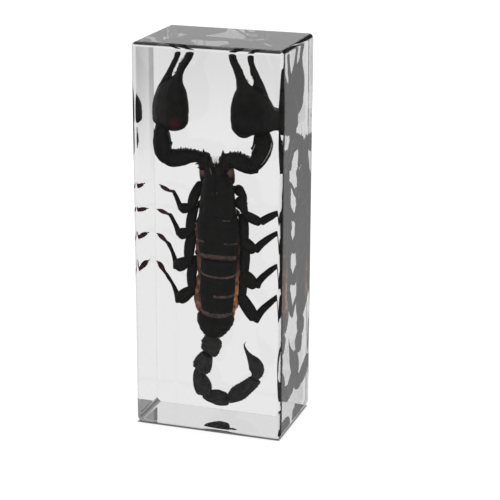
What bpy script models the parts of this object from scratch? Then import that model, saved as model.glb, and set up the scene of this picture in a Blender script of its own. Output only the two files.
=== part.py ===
"""Clear cast resin block: the body of a sealed dry specimen.

Metres, +Z up. The origin is the centre of the base, X runs along the width,
and Y along the depth with the viewing face at -Y.
"""

import bmesh
import bpy
from mathutils import Matrix, Vector

BLOCK_WIDTH = 0.043      # along X
BLOCK_DEPTH = 0.028      # along Y
BLOCK_HEIGHT = 0.110     # along Z
CORNER_WEAR = 0.0019     # length cut from each edge where three faces meet
EDGE_RADIUS = 0.0010     # polished rounding along every edge
EDGE_STEPS = 4           # facets across one rounding
FLAT_TURN = 0.0002       # faces turned less than this, in radians, are flat sides

RESIN_COLOUR = (0.93, 0.94, 0.92, 1.0)
RESIN_ROUGHNESS = 0.02
RESIN_IOR = 1.54


def clear_scene():
    for obj in list(bpy.data.objects):
        bpy.data.objects.remove(obj, do_unlink=True)


def resin_material():
    material = bpy.data.materials.new("clear_resin")
    material.use_nodes = True
    shader = material.node_tree.nodes["Principled BSDF"]
    shader.inputs["Base Color"].default_value = RESIN_COLOUR
    shader.inputs["Roughness"].default_value = RESIN_ROUGHNESS
    shader.inputs["Metallic"].default_value = 0.0
    shader.inputs["IOR"].default_value = RESIN_IOR
    shader.inputs["Transmission Weight"].default_value = 1.0
    return material


def cast_box(bm):
    """A box on the base plane, centred on the origin in X and Y."""
    size = Vector((BLOCK_WIDTH, BLOCK_DEPTH, BLOCK_HEIGHT))
    bmesh.ops.create_cube(bm, size=1.0)
    bmesh.ops.scale(bm, vec=size, verts=bm.verts)
    bmesh.ops.translate(bm, vec=(0.0, 0.0, BLOCK_HEIGHT / 2), verts=bm.verts)


def wear_corners(bm):
    """Each corner is blunted before the edges are rounded, as polishing does."""
    bmesh.ops.bevel(
        bm,
        geom=bm.verts[:],
        offset=CORNER_WEAR,
        offset_type="OFFSET",
        segments=1,
        profile=0.5,
        affect="VERTICES",
        material=-1,
    )


def round_edges(bm):
    bmesh.ops.bevel(
        bm,
        geom=bm.edges[:],
        offset=EDGE_RADIUS,
        offset_type="OFFSET",
        segments=EDGE_STEPS,
        profile=0.5,
        affect="EDGES",
        material=-1,
    )


def is_flat_side(face):
    """True for the six large sides, whose normals lie along an axis."""
    along_axis = max(abs(component) for component in face.normal)
    return along_axis > 1.0 - FLAT_TURN


def shade(bm):
    """Roundings are shaded smooth; the six sides stay flat."""
    bm.normal_update()
    for face in bm.faces:
        face.smooth = not is_flat_side(face)


def resin_block():
    bm = bmesh.new()
    cast_box(bm)
    wear_corners(bm)
    round_edges(bm)
    shade(bm)
    mesh = bpy.data.meshes.new("resin_block")
    bm.to_mesh(mesh)
    bm.free()
    mesh.materials.append(resin_material())
    block = bpy.data.objects.new("resin_block", mesh)
    block.matrix_world = Matrix.Identity(4)
    bpy.context.scene.collection.objects.link(block)
    return block


def main():
    clear_scene()
    resin_block()


main()
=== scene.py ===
import bisect
import math
import random

import bmesh
import bpy
from mathutils import Matrix, Vector, noise


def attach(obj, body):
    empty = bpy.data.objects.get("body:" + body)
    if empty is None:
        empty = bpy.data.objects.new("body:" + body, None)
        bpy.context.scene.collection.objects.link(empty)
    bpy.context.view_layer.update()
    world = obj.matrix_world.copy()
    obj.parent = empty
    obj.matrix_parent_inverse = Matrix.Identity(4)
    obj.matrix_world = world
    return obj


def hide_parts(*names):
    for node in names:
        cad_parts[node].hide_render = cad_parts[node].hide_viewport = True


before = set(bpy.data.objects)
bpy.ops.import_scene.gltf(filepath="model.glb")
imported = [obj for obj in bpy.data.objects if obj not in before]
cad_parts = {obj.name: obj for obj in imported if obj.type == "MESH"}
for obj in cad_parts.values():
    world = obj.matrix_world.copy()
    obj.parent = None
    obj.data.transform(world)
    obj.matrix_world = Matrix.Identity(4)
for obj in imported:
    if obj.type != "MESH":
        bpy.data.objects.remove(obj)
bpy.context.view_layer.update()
scene = bpy.context.scene

# Shapes are worked out in millimetres and made metres as each piece is finished.
# X is the viewer's right, -Y comes out of the front face, Z is up. The animal's back faces -Y.
millimetre = 0.001
dorsal = Vector((0.0, -1.0, 0.0))
body = "root"


def smoothStations(rows):
    # reads a list of number rows smoothly along the distance between their first three numbers
    reach = [0.0]
    for before, after in zip(rows, rows[1:]):
        reach.append(reach[-1] + (Vector(after[:3]) - Vector(before[:3])).length)
    last = len(rows) - 1

    def slope(i, column):
        a, b = max(i - 1, 0), min(i + 1, last)
        return (rows[b][column] - rows[a][column]) / (reach[b] - reach[a])

    def read(share):
        goal = share * reach[-1]
        i = min(max(bisect.bisect_right(reach, goal) - 1, 0), last - 1)
        span = reach[i + 1] - reach[i]
        f = (goal - reach[i]) / span
        out = []
        for column in range(len(rows[0])):
            a, b = rows[i][column], rows[i + 1][column]
            rise = b - a
            startSlope = slope(i, column) * span
            endSlope = slope(i + 1, column) * span
            out.append(a + f * startSlope + f * f * (3 * rise - 2 * startSlope - endSlope)
                       + f ** 3 * (startSlope + endSlope - 2 * rise))
        return out

    read.length = reach[-1]
    return read


def wayAt(read, share, before=0.01, after=0.01):
    # the way a limb runs at that share of its length
    begin, end = (Vector(read(at)[:3]) for at in (max(share - before, 0.0), min(share + after, 1.0)))
    return (end - begin).normalized()


def besideWay(ahead):
    # the directions across a limb that runs ahead and up from it
    across = ahead.cross(dorsal).normalized()
    return across, across.cross(ahead)


def granule(point, size):
    # low domes packed side by side, as on horny skin
    near = noise.voronoi(point / size)[0][0]
    return max(0.0, 1.0 - (near / 0.55) ** 2)


def signedPower(value, power):
    return math.copysign(abs(value) ** power, value)


def limbShell(rows, sides=24, rings=24, square=2.2, keels=(), grainSize=0.5, grainHeight=0.03,
              roundStart=0.8, roundEnd=0.8, lumps=0.04, level=False, twist=0.0):
    # a capped tube whose rings follow the stations: x, y, z, half width, half depth
    # level rings stay horizontal, the others stand square to the way the tube runs
    # keels: degrees round the tube, height, spread; twist: degrees that the rings are turned
    bm = bmesh.new()
    bmesh.ops.create_cone(bm, cap_ends=True, segments=sides, radius1=1.0, radius2=1.0, depth=1.0)
    rungs = [e for e in bm.edges if abs(e.verts[0].co.z - e.verts[1].co.z) > 0.5]
    bmesh.ops.subdivide_edges(bm, edges=rungs, cuts=rings - 1)
    read = smoothStations(rows)
    places = []
    for ring in range(rings + 1):
        share = 0.5 - 0.5 * math.cos(math.pi * ring / rings)
        x, y, z, halfWide, halfDeep = read(share)
        ahead = Vector((0.0, 0.0, 1.0)) if level else wayAt(read, share)
        across, up = besideWay(ahead)
        if twist:
            across = Matrix.Rotation(math.radians(twist), 3, ahead) @ across
            up = across.cross(ahead)
        fromStart = share * read.length / max(roundStart, 1e-6)
        fromEnd = (1.0 - share) * read.length / max(roundEnd, 1e-6)
        close = 1.0
        for gap in (fromStart, fromEnd):
            if gap < 1.0:
                close *= max(math.sqrt(max(1.0 - (1.0 - gap) ** 2, 0.0)), 0.06)
        places.append((Vector((x, y, z)), across, up, halfWide, halfDeep, close))
    for vert in bm.verts:
        ring = round((vert.co.z + 0.5) * rings)
        centre, across, up, halfWide, halfDeep, close = places[ring]
        angle = math.atan2(vert.co.y, vert.co.x)
        c, s = math.cos(angle), math.sin(angle)
        a = signedPower(c, 2.0 / square) * halfWide
        d = signedPower(s, 2.0 / square) * halfDeep
        outward = (across * c * halfDeep + up * s * halfWide).normalized()
        spot = centre + (across * a + up * d) * close
        lift = 0.0
        for degrees, height, spread in keels:
            off = (math.degrees(angle) - degrees + 180.0) % 360.0 - 180.0
            lift += height * math.exp(-(off / spread) ** 2)
        lift += lumps * noise.noise(spot * 0.8)
        if grainHeight:
            lift += grainHeight * granule(spot, grainSize)
        vert.co = spot + outward * lift * close
    return bm


def plateShell(shape, thickness, cellsAcross=40, cellsAlong=16, rim=None):
    # a grid bent by shape(u, v), u -1..1 across and v 0..1 along, then given its thickness
    # rim(u, v) says which faces take the second material
    bm = bmesh.new()
    bmesh.ops.create_grid(bm, x_segments=cellsAcross, y_segments=cellsAlong, size=1.0)
    if rim:
        for face in bm.faces:
            centre = face.calc_center_median()
            face.material_index = int(rim(centre.x, (centre.y + 1.0) / 2.0))
    for vert in bm.verts:
        vert.co = Vector(shape(vert.co.x, (vert.co.y + 1.0) / 2.0))
    bmesh.ops.solidify(bm, geom=bm.faces[:], thickness=thickness)
    bmesh.ops.recalc_face_normals(bm, faces=bm.faces[:])
    return bm


def readTable(table, at):
    # the second number of each row, read smoothly between rows whose first numbers fall
    for (high, first), (low, second) in zip(table, table[1:]):
        if at >= low:
            share = min(max((high - at) / (high - low), 0.0), 1.0)
            return first + (second - first) * share * share * (3.0 - 2.0 * share)
    return table[-1][1]


def joinShell(target, part, slot=0):
    for face in part.faces:
        face.material_index = slot
    bmesh.ops.recalc_face_normals(part, faces=part.faces[:])
    carrier = bpy.data.meshes.new("carrier")
    part.to_mesh(carrier)
    part.free()
    target.from_mesh(carrier)
    bpy.data.meshes.remove(carrier)


def addLimb(target, rows, slot=0, **shape):
    joinShell(target, limbShell(rows, **shape), slot)


def standing(root, direction, length):
    # the matrix that stands a cone of that length on root, pointing in direction
    direction = direction.normalized()
    turn = direction.to_track_quat("Z", "X").to_matrix().to_4x4()
    return Matrix.Translation(root + direction * length / 2) @ turn


def addSpike(target, root, direction, length, radius, segments=8, slot=0, tip=0.1):
    made = bmesh.ops.create_cone(target, cap_ends=True, cap_tris=False, segments=segments, radius1=radius,
                                 radius2=radius * tip, depth=length,
                                 matrix=standing(Vector(root), Vector(direction), length))
    for face in {f for v in made["verts"] for f in v.link_faces}:
        face.material_index = slot


def addBead(target, centre, radius, stretch=(1.0, 1.0, 1.0), finer=1):
    scale = Matrix.Diagonal((*stretch, 1.0))
    bmesh.ops.create_icosphere(target, subdivisions=finer, radius=radius,
                               matrix=Matrix.Translation(Vector(centre)) @ scale)


def finishPiece(name, bm, materials, sharpAngle=40.0):
    # smooth faces, sharp creases, metres, and the piece rides on the block's body
    limit = math.radians(sharpAngle)
    for face in bm.faces:
        face.smooth = True
    bm.normal_update()
    for edge in bm.edges:
        if len(edge.link_faces) == 2 and edge.calc_face_angle(0.0) > limit:
            edge.smooth = False
    bmesh.ops.scale(bm, vec=Vector((millimetre,) * 3), verts=bm.verts[:])
    mesh = bpy.data.meshes.new(name)
    bm.to_mesh(mesh)
    bm.free()
    for material in materials:
        mesh.materials.append(material)
    piece = bpy.data.objects.new(name, mesh)
    scene.collection.objects.link(piece)
    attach(piece, body)
    return piece


def newMaterial(name):
    material = bpy.data.materials.new(name)
    material.use_nodes = True
    nodes = material.node_tree.nodes
    return material, nodes, material.node_tree.links, nodes["Principled BSDF"]


def setInputs(node, values):
    for label, value in values.items():
        node.inputs[label].default_value = value


def newNode(nodes, kind, values=None, **traits):
    node = nodes.new("ShaderNode" + kind)
    for trait, value in traits.items():
        setattr(node, trait, value)
    setInputs(node, values or {})
    return node


def wire(links, *routes):
    # a route is a node, its output, the node that takes it and the input there
    for giver, output, taker, socket in routes:
        links.new(giver.outputs[output], taker.inputs[socket])


def feed(links, socket, value):
    # a number is set on the socket, anything else is linked to it
    if isinstance(value, (int, float)):
        socket.default_value = value
    else:
        links.new(value, socket)


def makeGrainGroup():
    # horny skin: slow mottling, and the surface normal that goes with its fine pits
    group = bpy.data.node_groups.new("hornyGrain", "ShaderNodeTree")
    sockets = group.interface
    sockets.new_socket("Place", in_out="INPUT", socket_type="NodeSocketVector")
    for label in ("Mottle Scale", "Pit Scale", "Pit Depth"):
        sockets.new_socket(label, in_out="INPUT", socket_type="NodeSocketFloat")
    sockets.new_socket("Mottle", in_out="OUTPUT", socket_type="NodeSocketFloat")
    sockets.new_socket("Normal", in_out="OUTPUT", socket_type="NodeSocketVector")
    nodes, links = group.nodes, group.links
    inside = nodes.new("NodeGroupInput")
    outside = nodes.new("NodeGroupOutput")
    mottle = newNode(nodes, "TexNoise", {"Detail": 4.0})
    pits = newNode(nodes, "TexVoronoi")
    ripples = newNode(nodes, "TexNoise", {"Detail": 2.0})
    both = newNode(nodes, "Math", {1: 0.6}, operation="MULTIPLY_ADD")
    bump = newNode(nodes, "Bump", {"Distance": 0.0001})
    for pattern, scale in ((mottle, "Mottle Scale"), (pits, "Pit Scale"), (ripples, "Pit Scale")):
        wire(links, (inside, "Place", pattern, "Vector"), (inside, scale, pattern, "Scale"))
    wire(links, (pits, "Distance", both, 0), (ripples, "Fac", both, 2), (both, 0, bump, "Height"),
         (inside, "Pit Depth", bump, "Strength"), (bump, "Normal", outside, "Normal"),
         (mottle, "Fac", outside, "Mottle"))
    return group


def rampNode(nodes, low, high):
    # a ramp between two stops, each a place and a colour
    ramp = newNode(nodes, "ValToRGB")
    for element, (place, colour) in zip(ramp.color_ramp.elements, (low, high)):
        element.position = place
        element.color = (*colour, 1.0)
    return ramp


def rangeNode(nodes, low, high, fromLow=0.0, fromHigh=1.0, smooth=False):
    values = {"From Min": fromLow, "From Max": fromHigh, "To Min": low, "To Max": high}
    return newNode(nodes, "MapRange", values, interpolation_type="SMOOTHSTEP" if smooth else "LINEAR")


def mathNode(nodes, links, operation, *values):
    node = newNode(nodes, "Math", operation=operation)
    for socket, value in zip(node.inputs, values):
        feed(links, socket, value)
    return node.outputs[0]


def grainNode(nodes, mottleScale, pitScale, pitDepth):
    values = {"Mottle Scale": mottleScale, "Pit Scale": pitScale, "Pit Depth": pitDepth}
    return newNode(nodes, "Group", values, node_tree=grainGroup)


def hornMaterial(name, dark, pale, rough=(0.34, 0.5), mottleScale=400.0, pitScale=3500.0, pitDepth=0.25,
                 specular=0.12):
    # horn that is mottled between a dark and a pale colour
    material, nodes, links, shader = newMaterial(name)
    place = newNode(nodes, "TexCoord")
    grain = grainNode(nodes, mottleScale, pitScale, pitDepth)
    colours = rampNode(nodes, (0.3, dark), (0.72, pale))
    roughness = rangeNode(nodes, *rough, 0.25, 0.75)
    setInputs(shader, {"Specular IOR Level": specular})
    wire(links, (place, "Object", grain, "Place"), (grain, "Mottle", colours, "Fac"),
         (grain, "Mottle", roughness, "Value"), (colours, "Color", shader, "Base Color"),
         (roughness, "Result", shader, "Roughness"), (grain, "Normal", shader, "Normal"))
    return material


def stainMaterial(name, stain, centre, radius):
    # black horn with one stained place that fades out round its centre
    material = hornMaterial(name, *blackTones)
    nodes, links = material.node_tree.nodes, material.node_tree.links
    shader = nodes["Principled BSDF"]
    colours = shader.inputs["Base Color"].links[0].from_node
    place = newNode(nodes, "TexCoord")
    centred = newNode(nodes, "Mapping", {"Location": [-value * millimetre for value in centre]})
    away = newNode(nodes, "VectorMath", operation="LENGTH")
    mask = rangeNode(nodes, 1.0, 0.0, 0.0, radius * millimetre, smooth=True)
    mix = newNode(nodes, "Mix", {"B": (*stain, 1.0)}, data_type="RGBA")
    wire(links, (place, "Object", centred, "Vector"), (centred, "Vector", away, 0),
         (away, "Value", mask, "Value"), (mask, "Result", mix, "Factor"), (colours, "Color", mix, "A"),
         (mix, "Result", shader, "Base Color"))
    return material


# where the skin's colour and its painted shade change, in metres
skinLook = {
    "left": (0.38, 0.17, 0.12),
    "right": (0.8, 0.37, 0.17),
    "acrossX": (-0.006, 0.005),      # from the left colour to the right one
    # foreShade, headShade and bellyShade set how far painted shade darkens the skin there
    "foreShade": (0.55, 0.2),        # how dark the fore body is to the left and to the right
    "foreZ": (0.038, 0.046),
    "headShade": 0.03,
    "headZ": (0.0565, 0.0595),
    "bellyShade": 0.12,
    "bellyY": (0.0054, 0.0066),
    "creases": (0.12, 0.08, 0.07),   # tint of the dark and the pale mottling
    "bulges": (1.15, 1.1, 1.05),
}


def skinMaterial(name, look):
    # soft folded skin between the plates, darkened with painted shade over the fore body, at the head and
    # under the belly
    material, nodes, links, shader = newMaterial(name)
    place = newNode(nodes, "TexCoord")
    split = newNode(nodes, "SeparateXYZ")
    side = rangeNode(nodes, 0.0, 1.0, *look["acrossX"], smooth=True)
    colours = rampNode(nodes, (0.0, look["left"]), (1.0, look["right"]))
    grain = grainNode(nodes, 620.0, 1800.0, 0.6)
    shades = rampNode(nodes, (0.34, look["creases"]), (0.62, look["bulges"]))
    mix = newNode(nodes, "Mix", {"Factor": 1.0}, data_type="RGBA", blend_type="MULTIPLY")
    # painted shade: darker over the fore body, at the head and under the belly
    fore = rangeNode(nodes, 1.0, 0.0, *look["foreZ"], smooth=True)
    foreLeft, foreRight = look["foreShade"]
    upper = mathNode(nodes, links, "MULTIPLY_ADD", side.outputs["Result"], foreRight - foreLeft, foreLeft)
    links.new(upper, fore.inputs["To Max"])
    head = rangeNode(nodes, 1.0, look["headShade"], *look["headZ"], smooth=True)
    belly = rangeNode(nodes, 1.0, look["bellyShade"], *look["bellyY"], smooth=True)
    shade = mathNode(nodes, links, "MULTIPLY", fore.outputs["Result"], head.outputs["Result"])
    shade = mathNode(nodes, links, "MULTIPLY", shade, belly.outputs["Result"])
    shaded = newNode(nodes, "VectorMath", operation="SCALE")
    links.new(shade, shaded.inputs["Scale"])
    wire(links, (place, "Object", split, "Vector"), (place, "Object", grain, "Place"),
         (split, "X", side, "Value"), (split, "Y", belly, "Value"), (split, "Z", fore, "Value"),
         (split, "Z", head, "Value"),
         (side, "Result", colours, "Fac"), (grain, "Mottle", shades, "Fac"), (colours, "Color", mix, "A"),
         (shades, "Color", mix, "B"), (mix, "Result", shaded, 0), (shaded, "Vector", shader, "Base Color"),
         (grain, "Normal", shader, "Normal"))
    setInputs(shader, {"Roughness": 0.42, "Specular IOR Level": 0.2})
    return material


def resinMaterial(look):
    material, nodes, links, shader = newMaterial("clearResin")
    setInputs(shader, {"Base Color": (1.0, 1.0, 1.0, 1.0), "Transmission Weight": 1.0, "Metallic": 0.0,
                       "Roughness": 0.0, "IOR": look["ior"]})
    absorb = newNode(nodes, "VolumeAbsorption", {"Color": look["tint"], "Density": look["density"]})
    wire(links, (absorb, "Volume", nodes["Material Output"], "Volume"))
    return material


grainGroup = makeGrainGroup()
blackTones = ((0.0045, 0.0042, 0.004), (0.011, 0.0098, 0.009))
blackHorn = hornMaterial("blackHorn", *blackTones)
# the tail's dark horn, made paler grey to paint in the haze that the resin lays over the deeper tail: painted
# light
hazePaintedHorn = hornMaterial("hazePaintedHorn", (0.028, 0.028, 0.028), (0.05, 0.049, 0.048), mottleScale=500.0)
footHorn = hornMaterial("footHorn", (0.03, 0.014, 0.014), (0.10, 0.036, 0.034), rough=(0.3, 0.45),
                        mottleScale=900.0)
# stained horn: the stain's colour, its centre and its radius in mm
palmHorn = stainMaterial("palmHorn", (0.085, 0.008, 0.02), (-11.9, -0.4, 86.2), 2.9)
leftHipHorn = stainMaterial("leftHipHorn", (0.32, 0.16, 0.12), (-4.4, 3.6, 73.0), 2.4)
rightHipHorn = stainMaterial("rightHipHorn", (0.27, 0.13, 0.09), (2.9, 3.3, 73.2), 2.3)
jawHorn = hornMaterial("jawHorn", (0.005, 0.0045, 0.004), (0.016, 0.013, 0.011), mottleScale=900.0)
bristleHorn = hornMaterial("bristleHorn", (0.05, 0.04, 0.035), (0.2, 0.16, 0.14), mottleScale=900.0)
plateRim = hornMaterial("plateRim", (0.05, 0.036, 0.032), (0.19, 0.125, 0.11), mottleScale=600.0)
# pale grey horn for the strips that paint the shine of trapped air films: painted highlight
airFilmHighlight = hornMaterial("airFilmHighlight", (0.25, 0.25, 0.25), (0.7, 0.69, 0.68), rough=(0.15, 0.3),
                       mottleScale=1500.0)
eyeGloss = hornMaterial("eyeGloss", (0.004, 0.003, 0.003), (0.012, 0.008, 0.006), rough=(0.06, 0.12),
                        pitDepth=0.0, specular=0.4)
foldedSkin = skinMaterial("foldedSkin", skinLook)
print("materials made")


resinLook = {
    "ior": 1.54,
    "tint": (0.68, 0.68, 0.68, 1.0),
    "density": 18.0,      # per metre
}
resinCast = {
    "size": (43.0, 28.0, 110.0),
    "wornLow": (1.6, 1.6, 1.6),     # how wide the left, front and bottom faces' edges are worn off, mm
    "wornHigh": (1.1, 0.12, 1.15),  # the same for the right, back and top faces
    "wornRight": 2.15,              # how deep the front face's right edge is worn, steeper than its others
    "flatness": 10.5,               # how flat the worn strip along an edge is between its two soft borders
    "strip": 1.3,                   # how far that strip stands in from the sharp edge
    # beside the right claw the front rounds off: from this X outwards, round this Z, reach up and down, depth
    "soft": (18.9, 91.5, 7.2, 0.62),
    "cuts": 63,
    "edgeShare": 0.4,               # share of the cuts that lie in the worn strips
    "crowding": (1.3, 1.5),         # how the cuts crowd towards those strips, and then within them
}


def wornGauge(parts):
    # 1 all over a cube whose edges and corners are worn off to soft flat strips
    power, strip = resinCast["flatness"], resinCast["strip"]
    a, b, c = (abs(part) for part in parts)
    total = a ** power + b ** power + c ** power
    for pair in (a + b, b + c, c + a):
        total += (pair / strip) ** power
    return total ** (1.0 / power)


def makeBlock():
    bm = bmesh.new()
    bmesh.ops.create_cube(bm, size=2.0)
    bmesh.ops.subdivide_edges(bm, edges=bm.edges[:], cuts=resinCast["cuts"], use_grid_fill=True)
    share = resinCast["edgeShare"]
    faceCrowd, stripCrowd = resinCast["crowding"]
    half = [side / 2 for side in resinCast["size"]]
    whole = wornGauge((1.0, 0.0, 0.0))
    softFrom, softHeight, softReach, softDepth = resinCast["soft"]
    for vert in bm.verts:
        rest = [math.copysign((max(abs(value) - 1.0 + share, 0.0) / share) ** stripCrowd, value)
                for value in vert.co]
        lowWorn, highWorn = list(resinCast["wornLow"]), resinCast["wornHigh"]
        if vert.co.x > 0:
            beside = rest[0] / max(rest[0] + abs(rest[2]), 1e-6)
            lowWorn[1] += (resinCast["wornRight"] - lowWorn[1]) * beside
        size = wornGauge(rest) / whole
        place = []
        for axis, (value, reach) in enumerate(zip(vert.co, half)):
            low, high = reach - lowWorn[axis], reach - highWorn[axis]
            flat = min(abs(value) / (1.0 - share), 1.0)
            flat = math.copysign(math.sin(flat * faceCrowd) / math.sin(faceCrowd), value)
            wear = highWorn[axis] if value > 0 else lowWorn[axis]
            place.append((high - low) / 2 + flat * (high + low) / 2 + rest[axis] / size * wear)
        inward = max((place[0] - softFrom) / (half[0] - softFrom), 0.0) ** 2 * max(-place[1] / half[1], 0.0)
        place[1] += softDepth * inward * math.exp(-((place[2] + half[2] - softHeight) / softReach) ** 4)
        vert.co = Vector(place)
    bmesh.ops.translate(bm, vec=(0.0, 0.0, half[2]), verts=bm.verts[:])
    bmesh.ops.recalc_face_normals(bm, faces=bm.faces[:])
    block = finishPiece("resinBlock", bm, [resinMaterial(resinLook)], sharpAngle=80.0)
    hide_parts("resin_block")


makeBlock()
print("resin block made")


trunk = {
    "backY": 0.5,         # depth of the back's ridge
    "midline": [(76.0, -0.9), (70.0, -0.45), (66.0, -0.4), (60.0, -0.5), (52.0, -0.25), (45.0, -0.15),
                (37.5, -0.65), (31.0, -1.3), (27.0, -1.75), (23.0, -2.1)],    # height, x
    # height, x of the left and right flank, depth of the middle, half depth
    "skin": [(70.5, -4.0, 2.9, 4.8, 2.5), (69.0, -4.6, 3.6, 4.8, 2.8), (66.0, -5.0, 4.3, 4.8, 2.9),
             (61.0, -5.8, 5.0, 4.8, 3.0), (57.5, -7.2, 6.2, 4.8, 3.05), (53.0, -7.3, 6.3, 4.8, 3.05),
             (48.0, -7.0, 6.35, 4.8, 3.05), (43.0, -6.9, 6.25, 4.8, 3.05), (39.0, -7.3, 6.1, 4.8, 3.05),
             (36.0, -7.9, 5.8, 4.8, 3.0), (33.5, -7.4, 5.2, 4.8, 2.9), (31.5, -6.2, 4.3, 4.9, 2.7),
             (28.0, -5.2, 2.4, 5.3, 2.3), (24.9, -4.0, 0.0, 5.9, 1.8)],
}


def midline(z):
    return readTable(trunk["midline"], z)


def makeTrunkSkin():
    # the soft inner body, seen between the plates and down both flanks
    rows = [((left + right) / 2, y, z, (right - left) / 2, deep) for z, left, right, y, deep in trunk["skin"]]
    bm = limbShell(rows, sides=96, rings=150, square=2.15, grainHeight=0.0, roundStart=2.0, roundEnd=1.0,
                   lumps=0.1)
    # folds of the flank skin, pinched at each joint between plates
    joints = [row[0] for row in tergites[:-1]]
    for vert in bm.verts:
        off = (vert.co.x - midline(vert.co.z)) / 6.6
        side = min(max((abs(off) - 0.55) / 0.35, 0.0), 1.0)
        pinch = sum(math.exp(-((vert.co.z - joint) / 0.8) ** 2) for joint in joints)
        fold = noise.noise(Vector((vert.co.x * 0.5, vert.co.y * 1.6, vert.co.z * 1.3)))
        vert.co.x -= math.copysign(side * (0.4 * pinch + 0.16 * fold), off)
    patch = bmesh.new()
    addBead(patch, (-1.3, 4.9, 24.6), 1.5, (1.1, 0.5, 0.5), finer=3)
    joinShell(bm, patch)
    finishPiece("trunkSkin", bm, [foldedSkin])


# rear edge z, front edge z, left and right edge x at the front, then at the rear, rise of the rear edge at
# its sides; for tergites also the pale border's height and where it shows, from -1 left to 1 right
tergites = [
    (57.0, 60.8, -5.9, 5.4, -6.3, 6.2, 0.2, 0.0, ()),
    (53.1, 57.9, -6.2, 6.1, -6.1, 6.0, 0.3, 0.16, ((-0.95, -0.5), (0.25, 0.9))),
    (48.9, 54.0, -6.0, 6.0, -5.6, 5.8, 0.25, 0.7, ((-1.0, 0.85),)),
    (43.0, 48.1, -5.2, 5.4, -5.3, 5.3, 1.3, 0.34, ((-1.0, 1.0),)),
    (37.2, 44.4, -5.4, 5.1, -5.6, 4.8, 1.1, 0.42, ((-0.1, 1.0),)),
    (31.3, 38.6, -5.6, 4.7, -5.2, 4.1, 1.5, 0.95, ((-1.0, 1.0),)),
]
lastPlate = {
    "rear": 24.5,
    "front": 31.9,
    "left": [(32.0, -6.0), (30.4, -6.8), (29.0, -6.9), (26.6, -6.2), (25.2, -5.3), (24.4, -4.4)],
    "right": [(32.0, 3.9), (30.4, 4.2), (29.0, 3.8), (27.4, 2.9), (26.0, 1.8), (25.0, 0.8), (24.4, 0.2)],
}
sternites = [
    (52.6, 58.6, -5.6, 5.0, -6.0, 5.4, 0.0), (47.4, 53.4, -6.1, 5.6, -6.2, 5.7, 0.0),
    (42.0, 48.2, -6.1, 5.6, -6.1, 5.5, 0.0), (36.4, 42.8, -6.2, 5.5, -6.5, 5.2, 0.0),
    (31.0, 37.2, -6.4, 5.0, -6.0, 4.0, 0.2),
]


def plateRelief(spot, u, v):
    # how far a plate's surface stands out: rim, keels and grain
    rim = 0.08 * math.exp(-((v - 0.97) / 0.03) ** 2)
    keels = 0.12 * math.exp(-(u / 0.05) ** 2) + 0.10 * math.exp(-((abs(u) - 0.42) / 0.05) ** 2)
    grain = 0.05 * granule(spot, 0.42) * min(v * 1.6, 1.0)
    return rim + keels * min(v * 2, 1.0) + grain + 0.05 * noise.noise(spot * 0.9)


def bowed(left, right, u, bow):
    # x between both edges of a bowed plate, whose cells crowd towards them
    return (left + right) / 2 + (right - left) / 2 * math.sin(u * bow) / math.sin(bow)


def plateSpot(plate, u, v):
    # x and z of a point of a tergite or sternite
    rear, front, leftFront, rightFront, leftRear, rightRear, smile = plate
    z = front + (rear - front) * v + smile * u * u * v
    left = leftFront + (leftRear - leftFront) * v
    right = rightFront + (rightRear - rightFront) * v
    return bowed(left, right, u, 1.32), z


def makeTergite(number, row):
    *plate, rimHeight, spans = row
    rear, front = plate[:2]

    def shape(u, v):
        x, z = plateSpot(plate, u, v)
        y = trunk["backY"] + 0.35 + 1.9 * abs(u) ** 2.8
        y -= 0.34 * v ** 1.5 * (1.0 - 0.5 * abs(u))          # rear edge stands over the next plate
        y += 0.3 * math.exp(-(v / 0.09) ** 2)                # front edge dives under the last one
        return x, y - plateRelief(Vector((x, y, z)), u, v), z

    def rim(u, v):
        up = (1.0 - v) * (front - rear) + 0.12 * noise.noise(Vector((u * 7.0, number * 3.7, 0.0)))
        return up < rimHeight and any(begin < u < end for begin, end in spans)

    finishPiece("tergite%d" % number, plateShell(shape, 0.28, 60, 44, rim), [blackHorn, plateRim])


def makeLastPlates():
    front, rear = lastPlate["front"], lastPlate["rear"]
    for name, side in (("tergite7", -1.0), ("sternite6", 1.0)):
        def shape(u, v):
            z = front + (rear - front) * v
            left, right = readTable(lastPlate["left"], z), readTable(lastPlate["right"], z)
            x = bowed(left, right, u, 1.45)
            tail = min(max((31.0 - z) / 6.4, 0.0), 1.0)
            high = 3.9 - 1.7 * tail ** 1.5 - (0.3 if side > 0 else 0.0)
            dive = 0.3 * math.exp(-(v / 0.09) ** 2)
            y = 4.75 + 0.9 * tail + side * (high * (1.0 - 0.9 * abs(u) ** 2.4) - dive)
            return x, y + side * plateRelief(Vector((x, y, z)), u, v), z
        finishPiece(name, plateShell(shape, 0.28 * side, 60, 40), [blackHorn])


def makeSternite(number, plate):
    def shape(u, v):
        x, z = plateSpot(plate, u, v)
        y = 8.0 - 2.0 * abs(u) ** 2.8 + 0.26 * v ** 1.5 - 0.3 * math.exp(-(v / 0.09) ** 2)
        slit = 0.16 * math.exp(-((abs(u) - 0.62) / 0.09) ** 2 - ((v - 0.5) / 0.05) ** 2)    # breathing slits
        return x, y + 0.6 * plateRelief(Vector((x, y, z)), u, v) - slit, z

    finishPiece("sternite%d" % number, plateShell(shape, -0.26, 56, 36), [blackHorn])


def makeTrunk():
    makeTrunkSkin()
    for number, row in enumerate(tergites, 1):
        makeTergite(number, row)
    for number, plate in enumerate(sternites, 1):
        makeSternite(number, plate)
    makeLastPlates()


makeTrunk()
print("trunk made")


headShield = {
    "front": 74.0,
    "rear": 59.9,
    # height, half width
    "halfWidth": [(74.2, 2.7), (72.6, 3.3), (71.0, 4.1), (69.5, 4.6), (66.0, 5.1), (62.4, 5.3), (59.0, 5.45)],
    "thick": 0.32,
    "eyeZ": 67.6,
    "sideEyes": ((0.0, 0.27), (0.62, 0.25), (1.15, 0.2)),     # how far behind the first, radius
}


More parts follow.
